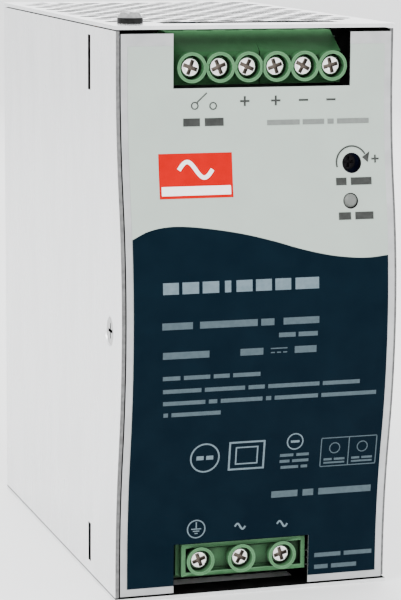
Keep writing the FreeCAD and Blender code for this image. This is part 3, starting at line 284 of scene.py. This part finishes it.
FINISHES = {
    "chassis_shell": SHEET, "top_cover": SHEET, "bottom_cover": SHEET, "front_panel": PANEL,
    "front_label": FILM, "pan_head_screws": ZINC, "flat_head_screws": ZINC, "output_terminal_housing": GREEN,
    "input_terminal_housing": GREEN, "output_terminal_pins": TINNED, "input_terminal_pins": TINNED,
    "output_board": BOARD, "input_board": BOARD, "main_board": BOARD, "control_board": BOARD,
    "din_bracket": BLACK, "din_latch": BLACK, "latch_spring": SPRING, "insulation_sheet": AMBER,
    "board_standoffs": TINNED, "trimmer_body": BLUE, "trimmer_rotor": CHIP, "dc_ok_lamp": LAMP,
    "fuse": GLAZE, "inrush_thermistor": FERRITE, "x_capacitor": YELLOW,
    "y_capacitors": CERAMIC, "filter_choke_core": FERRITE, "filter_choke_winding": COPPER,
    "pfc_inductor_core": FERRITE, "pfc_inductor_winding": COPPER, "primary_heatsink": ALUMINIUM,
    "primary_transistors": CHIP, "bridge_rectifier": CHIP, "bulk_capacitor": SLEEVE,
    "transformer_core": FERRITE, "transformer_winding": TAPE, "secondary_heatsink": ALUMINIUM,
    "output_rectifiers": CHIP, "output_capacitors": SLEEVE, "output_inductor": COPPER,
    "output_relay": RELAY,
}
for node, thing in frame["nodes"].items():
    if "_clamp_" in node:
        finish = STEEL
    elif "_screw_" in node:
        finish = NICKEL
    else:
        finish = FINISHES[node]
    thing.data.materials.clear()
    thing.data.materials.append(finish)


# ---------------------------------------------------------------- making pieces

def add_piece(name, mesh, finish, replaced, body=None):
    """Put a mesh in the scene as a piece that rides on a body, instead of the replaced nodes."""
    piece = bpy.data.objects.new(name, mesh)
    bpy.context.scene.collection.objects.link(piece)
    mesh.materials.clear()
    mesh.materials.append(finish)
    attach(piece, body or BODY_OF[replaced[0]])
    if replaced:
        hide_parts(*replaced)
    return piece


def finished_mesh(name, shape):
    """Turn a bmesh into a mesh with its faces turned outwards."""
    bmesh.ops.recalc_face_normals(shape, faces=shape.faces)
    mesh = bpy.data.meshes.new(name)
    shape.to_mesh(mesh)
    shape.free()
    return mesh


def soften(node, name, width, segments=2, finish=None, edge_angle=35, merge=True):
    """Replace a node with the same shape, its sharp edges rounded as moulding or tumbling does."""
    shape = bmesh.new()
    shape.from_mesh(frame["nodes"][node].data)
    bmesh.ops.remove_doubles(shape, verts=shape.verts, dist=0.002 * MM)
    if merge:
        bmesh.ops.dissolve_limit(shape, angle_limit=math.radians(0.6), verts=shape.verts,
                                 edges=shape.edges)
    mesh = finished_mesh(name, shape)
    mesh.shade_smooth()
    mesh.set_sharp_from_angle(angle=math.radians(edge_angle))
    piece = add_piece(name, mesh, finish or FINISHES[node], (node,))
    bevel = piece.modifiers.new("Rounding", "BEVEL")
    bevel.width = width * MM
    bevel.segments = segments
    bevel.limit_method = "ANGLE"
    bevel.angle_limit = math.radians(edge_angle)
    bevel.harden_normals = True
    return piece


# Share of the head's radius that the cross recess takes, and the depths it lies between.
RECESS_SHARE, RECESS_TOP, RECESS_FLOOR = 0.74, 0.1 * MM, 1.4 * MM
COLLAR_REACH = 0.4 * MM
UPRIGHT = 0.35


def shade_recess(piece, node):
    """Paint shade, in a dark brownish steel, on the walls and floor of a clamp screw's cross recess."""
    low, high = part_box(node)
    axis = (low + high) / 2
    reach = (high.x - low.x) / 2 * RECESS_SHARE
    piece.data.materials.append(PAINTED_RECESS_SHADE)
    for face in piece.data.polygons:
        away = math.hypot(face.center.x - axis.x, face.center.z - axis.z)
        if away < reach and low.y + RECESS_TOP < face.center.y < low.y + RECESS_FLOOR:
            face.material_index = 1


def moulding(node, name, finish):
    """Replace a terminal housing with the same shape, its round walls shaded smooth."""
    shape = bmesh.new()
    shape.from_mesh(frame["nodes"][node].data)
    bmesh.ops.remove_doubles(shape, verts=shape.verts, dist=0.002 * MM)
    mesh = finished_mesh(name, shape)
    mesh.shade_smooth()
    mesh.set_sharp_from_angle(angle=math.radians(20))
    return add_piece(name, mesh, finish, (node,))


def light_collars(piece):
    """Give the collars' fronts, and all that stands as far forwards, a paler green: painted light on the
    faces that catch it.
    """
    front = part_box("output_terminal_housing")[0].y
    piece.data.materials.append(LIT_GREEN)
    for face in piece.data.polygons:
        if face.center.y < front + COLLAR_REACH:
            face.material_index = 1


def darken_rims(piece):
    """Paint the upright sides of the pan heads near black, all the way round, as a painted dark reflection.
    """
    piece.data.materials.append(RIM_REFLECTION)
    for face in piece.data.polygons:
        if abs(face.normal.z) < UPRIGHT:
            face.material_index = 1


def no_edge(at, normal):
    """Pick nothing."""
    return False


def cut_edge_of_case(at, normal):
    """Pick the sheared front edges of the two side walls, where the steel has no zinc; their dark grey is
    painted shade.
    """
    return abs(at.x) > INNER_WALL - 0.1 and at.y < FRONT_EDGE_Y and abs(normal.x) < 0.5 and normal.y < -0.3


def shade_sheet(node, name, hidden, cut=no_edge):
    """Replace a sheet part with the same shape, with hidden() faces painted near black as shade and cut()
    faces bare of zinc and painted dark grey as shade.
    """
    mesh = frame["nodes"][node].data.copy()
    piece = add_piece(name, mesh, FINISHES[node], (node,))
    mesh.materials.append(SHADE_BLACK)
    mesh.materials.append(SHADED_EDGE)
    for face in mesh.polygons:
        if cut(face.center / MM, face.normal):
            face.material_index = 2
        elif hidden(face.center / MM, face.normal):
            face.material_index = 1
    return piece


CASE_MIDDLE = Vector((0, 0, 62.6))
PANEL_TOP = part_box("front_panel")[1].z / MM
INNER_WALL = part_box("front_panel")[1].x / MM
COVER_FRONT, COVER_REAR = (corner.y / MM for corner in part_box("top_cover"))
SLIT_Y, SLIT_REACH = -33.5, 1.3
FRONT_EDGE_Y = -40
NOTCH_REACH = 25


def looks_in(at, normal):
    """Tell whether a face is turned towards the middle of the case."""
    return normal.dot(CASE_MIDDLE - at) > 0


def unlit_in_case(at, normal):
    """Pick the faces that look into the case, its front tabs and the walls of the four slits."""
    in_slit = abs(at.x) > INNER_WALL and abs(at.y - SLIT_Y) < SLIT_REACH and abs(normal.x) < 0.5
    front_tab = abs(at.x) < INNER_WALL - 0.1 and at.y < SLIT_Y
    return in_slit or front_tab or looks_in(at, normal)


def unlit_in_cover(at, normal):
    """Pick the inner face of a cover and the walls of its holes and its slot."""
    hole = abs(normal.z) < 0.5 and abs(at.x) < INNER_WALL and COVER_FRONT + 1 < at.y < COVER_REAR - 1
    return hole or abs(normal.z) > 0.5 and looks_in(at, normal)


def unlit_in_panel(at, normal):
    """Pick the inner faces, the tongues, the flanges behind both walls and the notches' edges."""
    tongue = at.y > SLIT_Y - 1
    flange = abs(at.x) > INNER_WALL - 1 and abs(normal.x) > 0.5
    notch_edge = abs(at.x) < NOTCH_REACH and abs(normal.y) < 0.3 and at.z < PANEL_TOP - 0.1
    return tongue or flange or notch_edge or looks_in(at, normal)


# ---------------------------------------------------------------- the printed film

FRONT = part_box("front_label")[1].y / MM
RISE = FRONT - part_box("front_panel")[0].y / MM
BELLY_TOP, BELLY_MIDDLE, BELLY_BOTTOM = 115.2, 62, 6
FILM_OUT, UNDER_INK, OVER_INK = 0.11, 0.15, 0.19
INK_DEPTH = 0.07


def belly(z):
    """Return how far the front swells forwards at a height, both in millimetres."""
    run = BELLY_TOP - BELLY_MIDDLE if z > BELLY_MIDDLE else BELLY_MIDDLE - BELLY_BOTTOM
    away = min(abs(z - BELLY_MIDDLE), run)
    radius = (run ** 2 + RISE ** 2) / (4 * RISE)
    if away <= run / 2:
        return RISE - radius + math.sqrt(radius ** 2 - away ** 2)
    return radius - math.sqrt(radius ** 2 - (run - away) ** 2)


def on_film(x, z, out):
    """Return the point a distance in front of the panel's skin."""
    return Vector((x, FRONT - belly(z) - out, z)) * MM


class Print:
    """Ink of one colour: thin slabs that follow the belly."""

    def __init__(self, out=OVER_INK):
        self.shape = bmesh.new()
        self.out = out

    def grid(self, columns):
        """Add one slab from columns of (x, z) points, each column having as many points."""
        layers = [[[self.shape.verts.new(on_film(x, z, out)) for x, z in column] for column in columns]
                  for out in (self.out, self.out - INK_DEPTH)]
        outer, inner = layers
        wide, high = len(columns) - 1, len(columns[0]) - 1
        for layer in layers:
            for i in range(wide):
                for j in range(high):
                    self.shape.faces.new((layer[i][j], layer[i + 1][j], layer[i + 1][j + 1],
                                          layer[i][j + 1]))
        rim = [(i, 0) for i in range(wide)] + [(wide, j) for j in range(high)]
        rim += [(i, high) for i in range(wide, 0, -1)] + [(0, j) for j in range(high, 0, -1)]
        for (i, j), (k, m) in zip(rim, rim[1:] + rim[:1]):
            self.shape.faces.new((outer[i][j], outer[k][m], inner[k][m], inner[i][j]))

    def bar(self, left, right, z, height):
        """Add a rectangle centred on a height."""
        self.grid([[(x, z - height / 2), (x, z + height / 2)] for x in (left, right)])

    def line(self, z, height, spans):
        """Add a row of bars, one for each word that the row stands for."""
        for left, right in spans:
            self.bar(left, right, z, height)

    def stroke(self, points, width):
        """Add a line of even width along (x, z) points; a closed one ends where it starts."""
        points = [Vector(point) for point in points]
        closed = (points[0] - points[-1]).length < 1e-6
        columns = []
        for index, point in enumerate(points):
            before = points[index - 1] if index else (points[-2] if closed else point)
            after = points[index + 1] if index + 1 < len(points) else (points[1] if closed else point)
            along = (after - before).normalized()
            side = Vector((-along.y, along.x)) * width / 2
            columns.append([tuple(point - side), tuple(point + side)])
        self.grid(columns)

    def arc(self, x, z, radius, start, end, width):
        """Add a stroke along an arc, its angles in degrees from +X towards +Z."""
        steps = max(8, int(abs(end - start) * radius / 30))
        angles = [math.radians(start + (end - start) * i / steps) for i in range(steps + 1)]
        self.stroke([(x + radius * math.cos(a), z + radius * math.sin(a)) for a in angles], width)

    def ring(self, x, z, radius, width):
        self.arc(x, z, radius, 0, 360, width)

    def wave(self, x, z, length, height, width):
        """Add one period of the sign for alternating current."""
        steps = 20
        self.stroke([(x - length / 2 + length * i / steps,
                      z + height / 2 * math.sin(2 * math.pi * i / steps)) for i in range(steps + 1)],
                    width)

    def plus(self, x, z, size, width):
        self.bar(x - size / 2, x + size / 2, z, width)
        self.bar(x - width / 2, x + width / 2, z + (size + width) / 4, (size - width) / 2)
        self.bar(x - width / 2, x + width / 2, z - (size + width) / 4, (size - width) / 2)

    def piece(self, name, finish):
        mesh = finished_mesh(name, self.shape)
        return add_piece(name, mesh, finish, (), body="case")


def make_film():
    """The film itself: the CAD's film, a little thinner to leave room for the ink."""
    mesh = frame["nodes"]["front_label"].data.copy()
    for vertex in mesh.vertices:
        x, y, z = vertex.co / MM
        if y < FRONT - belly(z) - 0.1:
            vertex.co.y = (FRONT - belly(z) - FILM_OUT) * MM
    add_piece("label_film_sheet", mesh, FILM, ("front_label",))


CREST = ((-29.1, 80.3), (-25.5, 82.0), (-21.4, 82.8), (-17, 82.8), (-10.5, 82.0), (-4, 80.8),
         (2.6, 79.1), (9.2, 77.1), (15.6, 75.6), (21, 74.9), (25, 74.8), (29.1, 75.2))


def crest_slope(index):
    """Slope of the wave at one of its knots, from the knots on both sides of it."""
    (x0, z0), (x1, z1) = CREST[max(index - 1, 0)], CREST[min(index + 1, len(CREST) - 1)]
    return (z1 - z0) / (x1 - x0)


def shore(x):
    """Height of the wavy boundary between the pale and the navy field."""
    for index, ((x0, z0), (x1, z1)) in enumerate(zip(CREST, CREST[1:])):
        if x <= x1:
            run = x1 - x0
            share = (x - x0) / run
            leave, arrive = crest_slope(index) * run, crest_slope(index + 1) * run
            eased = share * share * (3 - 2 * share)
            return (z0 + (z1 - z0) * eased + leave * share * (1 - share) ** 2
                    - arrive * share * share * (1 - share))
    return CREST[-1][1]


def field(ink, left, right, bottom):
    """Fill the label between two sides from a height up to the wave."""
    wide = max(2, int((right - left) / 0.8))
    xs = [left + (right - left) * i / wide for i in range(wide + 1)]
    rows = 48
    ink.grid([[(x, bottom + (shore(x) - bottom) * j / rows) for j in range(rows + 1)] for x in xs])


def make_prints():
    """Lay the navy field, the red patch and the signs over the pale field; return all seven inks."""
    low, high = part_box("front_label")
    edge = high.x / MM
    floor = low.z / MM
    notch_left, notch_right, notch_top = -18.33, 12.93, 12.23
    navy, red = Print(UNDER_INK), Print(UNDER_INK)
    shade, pale, mark, white, dark = (Print() for _ in range(5))
    field(navy, -edge, notch_left, floor)
    field(navy, notch_left, notch_right, notch_top)
    field(navy, notch_right, edge, floor)

    # Pale field: contact sign, polarity signs, rows of words, the trimmer's arc and the lamp's row.
    dark.ring(-14.2, 108.2, 0.75, 0.26)
    dark.ring(-10.1, 108.1, 0.75, 0.26)
    dark.stroke([(-13.7, 108.9), (-11.5, 110.9)], 0.26)
    dark.line(104.7, 1.7, ((-16.8, -13.1), (-12.0, -7.8)))
    for x in (-3.0, 4.0):
        dark.plus(x, 109.0, 2.1, 0.42)
    for x in (10.3, 16.6):
        dark.bar(x - 1.05, x + 1.05, 109.0, 0.42)
    shade.line(104.3, 1.1, ((2.0, 9.4), (10.1, 15.0), (15.8, 17.2), (18.0, 25.3)))
    dark.arc(21.2, 95.3, 3.55, 195, 30, 0.34)
    dark.grid([[(23.6, 96.4), (25.3, 97.6)], [(24.9, 95.3), (24.92, 95.32)]])
    dark.plus(26.6, 96.0, 1.7, 0.36)
    dark.line(91.3, 1.6, ((17.4, 19.8), (20.8, 25.6)))
    dark.line(83.9, 1.6, ((17.7, 20.5), (21.5, 25.7)))

    # A plain red patch with a white strip; the white wave on the patch is laid in make_marks.
    red.grid([[(x, 88.7 + 9.5 * j / 6) for j in range(7)] for x in (-22.5, -6.1)])
    white.bar(-22.0, -6.6, 90.3, 1.9)
    return navy, shade, pale, mark, white, dark, red


def make_marks(pale, mark, white):
    """Signs and rows of words over the navy and red fields."""
    mark.line(69.8, 2.5, ((-22.4, -18.9), (-18.1, -14.4), (-13.6, -9.9), (-8.6, -7.2), (-6.0, -2.4),
                           (-1.6, 2.0), (2.8, 6.4), (7.4, 12.8)))
    pale.line(61.7, 1.5, ((-22.6, -15.8), (-14.2, -1.2), (-0.4, 2.6), (4.7, 12.9)))
    pale.line(58.7, 1.0, ((3.7, 7.5), (8.2, 12.6)))
    pale.line(55.3, 1.5, ((-22.4, -12.0), (-5.0, 0.2), (7.4, 12.4)))
    pale.bar(1.9, 5.7, 55.8, 0.24)
    for x in (2.4, 3.8, 5.2):
        pale.bar(x - 0.45, x + 0.45, 54.9, 0.24)
    for z, spans in (
            (50.3, ((-22.3, -18.4), (-17.6, -11.7), (-10.9, -7.3), (-6.5, -0.3))),
            (47.4, ((-22.2, -13.6), (-12.8, -3.7), (-2.9, 0.8), (1.6, 13.4), (14.2, 22.8))),
            (44.7, ((-22.1, -12.6), (-11.8, -9.9), (-9.1, 0.4), (1.2, 2.4), (3.2, 13.2), (14.0, 26.8))),
            (42.1, ((-21.9, -20.9), (-20.1, -9.0)))):
        pale.line(z, 0.9, spans)
    pale.line(22.2, 1.5, ((3.8, 9.9), (11.1, 13.6), (14.8, 27.2)))
    pale.line(7.4, 0.95, ((14.4, 20.6), (21.4, 28.0)))
    pale.line(4.7, 0.95, ((14.4, 17.6), (18.4, 24.4)))
    mark.ring(-12.0, 31.8, 3.2, 0.34)
    mark.line(31.8, 0.9, ((-13.9, -12.3), (-11.7, -10.1)))
    for inset, width in ((0, 0.4), (1.5, 0.3)):
        left, right, low, high = -6.4 + inset, 1.5 - inset, 28.7 + inset * 0.8, 34.9 - inset * 0.8
        mark.bar(left, right, high, width)
        mark.bar(left, right, low, width)
        for x in (left, right):
            mark.bar(x - width / 2, x + width / 2, (low + high) / 2, high - low + width)
    mark.ring(8.6, 34.3, 1.8, 0.28)
    mark.line(34.3, 0.5, ((7.6, 9.6),))
    for z, spans in ((31.2, ((5.3, 8.4), (9.1, 12.0))), (29.8, ((5.3, 7.6), (8.2, 12.0))),
                     (28.4, ((5.6, 9.7), (10.3, 11.8)))):
        pale.line(z, 0.65, spans)
    for z in (28.0, 34.6):
        pale.bar(14.8, 27.8, z, 0.22)
    for x in (14.8, 21.3, 27.8):
        pale.bar(x - 0.11, x + 0.11, 31.3, 6.38)
    for left in (15.6, 22.1):
        pale.ring(left + 2.4, 32.2, 1.2, 0.22)
        pale.line(29.6, 0.5, ((left, left + 1.9), (left + 2.4, left + 4.9)))
        pale.line(28.8, 0.4, ((left, left + 4.9),))
    mark.ring(-13.3, 15.5, 2.0, 0.26)
    mark.bar(-13.43, -13.17, 16.35, 1.4)
    for z, half in ((15.5, 1.15), (15.0, 0.75), (14.5, 0.35)):
        mark.bar(-13.3 - half, -13.3 + half, z, 0.22)
    mark.wave(-3.2, 15.4, 2.4, 1.3, 0.4)
    mark.wave(6.6, 15.3, 2.4, 1.3, 0.4)
    white.wave(-14.3, 94.7, 7.5, 3.4, 0.9)


# Painted shade: the sheets' inner faces, slits, hole walls and notch edges are painted near black.
shade_sheet("chassis_shell", "case_shell", unlit_in_case, cut_edge_of_case)
shade_sheet("top_cover", "cover_above", unlit_in_cover)
shade_sheet("bottom_cover", "cover_below", unlit_in_cover)
shade_sheet("front_panel", "panel_sheet", unlit_in_panel)
make_film()
navy_ink, shade_ink, pale_ink, mark_ink, white_ink, dark_ink, red_ink = make_prints()
make_marks(pale_ink, mark_ink, white_ink)
navy_ink.piece("print_navy", NAVY)
shade_ink.piece("print_grey_words", GREY_INK)
pale_ink.piece("print_pale_words", SOFT_INK)
mark_ink.piece("print_marks", MARK_INK)
white_ink.piece("print_white", WHITE_INK)
dark_ink.piece("print_dark", DARK_INK)
red_ink.piece("print_red", RED_INK)


# ---------------------------------------------------------------- hardware

light_collars(moulding("output_terminal_housing", "output_block", GREEN))
# The input block is all in the paler, lit copy of the green: painted light.
moulding("input_terminal_housing", "input_block", LIT_GREEN)
for kind, poles in (("output", 6), ("input", 3)):
    for pole in range(1, poles + 1):
        node = f"{kind}_screw_{pole}"
        shade_recess(soften(node, f"{kind}_clamp_screw_{pole}", 0.08, finish=NICKEL, merge=False), node)
# The pan heads' sides get a painted dark reflection.
darken_rims(soften("pan_head_screws", "pan_screws", 0.09))
soften("flat_head_screws", "flat_screws", 0.05)
soften("din_bracket", "rail_bracket", 0.25)
soften("din_latch", "rail_latch", 0.25)
soften("trimmer_rotor", "trimmer_dial", 0.06)
soften("dc_ok_lamp", "lamp_lens", 0.12, segments=3)


def tube(name, points, radius, finish, replaced, closed_ends=True, sides=10):
    """Sweep a round wire along points, keeping its section square to them."""
    shape = bmesh.new()
    rings = []
    side = None
    for index, point in enumerate(points):
        ahead = (points[min(index + 1, len(points) - 1)] - points[max(index - 1, 0)]).normalized()
        if side is None:
            side = ahead.orthogonal().normalized()
        side = (side - ahead * side.dot(ahead)).normalized()
        other = ahead.cross(side)
        rings.append([shape.verts.new(point + radius * (math.cos(turn) * side + math.sin(turn) * other))
                      for turn in (2 * math.pi * i / sides for i in range(sides))])
    for ring, following in zip(rings, rings[1:]):
        for i in range(sides):
            j = (i + 1) % sides
            shape.faces.new((ring[i], ring[j], following[j], following[i]))
    if closed_ends:
        shape.faces.new(rings[0])
        shape.faces.new(rings[-1])
    mesh = finished_mesh(name, shape)
    mesh.shade_smooth()
    mesh.set_sharp_from_angle(angle=math.radians(50))
    return add_piece(name, mesh, finish, replaced)


low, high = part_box("latch_spring")
centre = (low + high) / 2
SPRING_WIRE = 0.25 * MM
SPRING_TURNS = 9
coil_radius = (high.x - low.x) / 2 - SPRING_WIRE
coil_points = []
for step in range(SPRING_TURNS * 24 + 1):
    turn = step / 24
    rise = low.z + SPRING_WIRE + (high.z - low.z - 2 * SPRING_WIRE) * turn / SPRING_TURNS
    coil_points.append(Vector((centre.x + coil_radius * math.cos(2 * math.pi * turn),
                               centre.y + coil_radius * math.sin(2 * math.pi * turn), rise)))
spring = tube("latch_coil", coil_points, SPRING_WIRE, SPRING, ("latch_spring",), sides=8)
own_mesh(spring)


# ---------------------------------------------------------------- floor

bpy.ops.mesh.primitive_plane_add(size=6, location=(0, 0, cad_box[0][2]))
floor = bpy.context.object
floor.name = "Floor"
paper = material("pale_floor", (0.88, 0.88, 0.88), (0.92, 0.92, 0.92), 0.6, grain=4, bump=0.0)
floor.data.materials.append(paper)
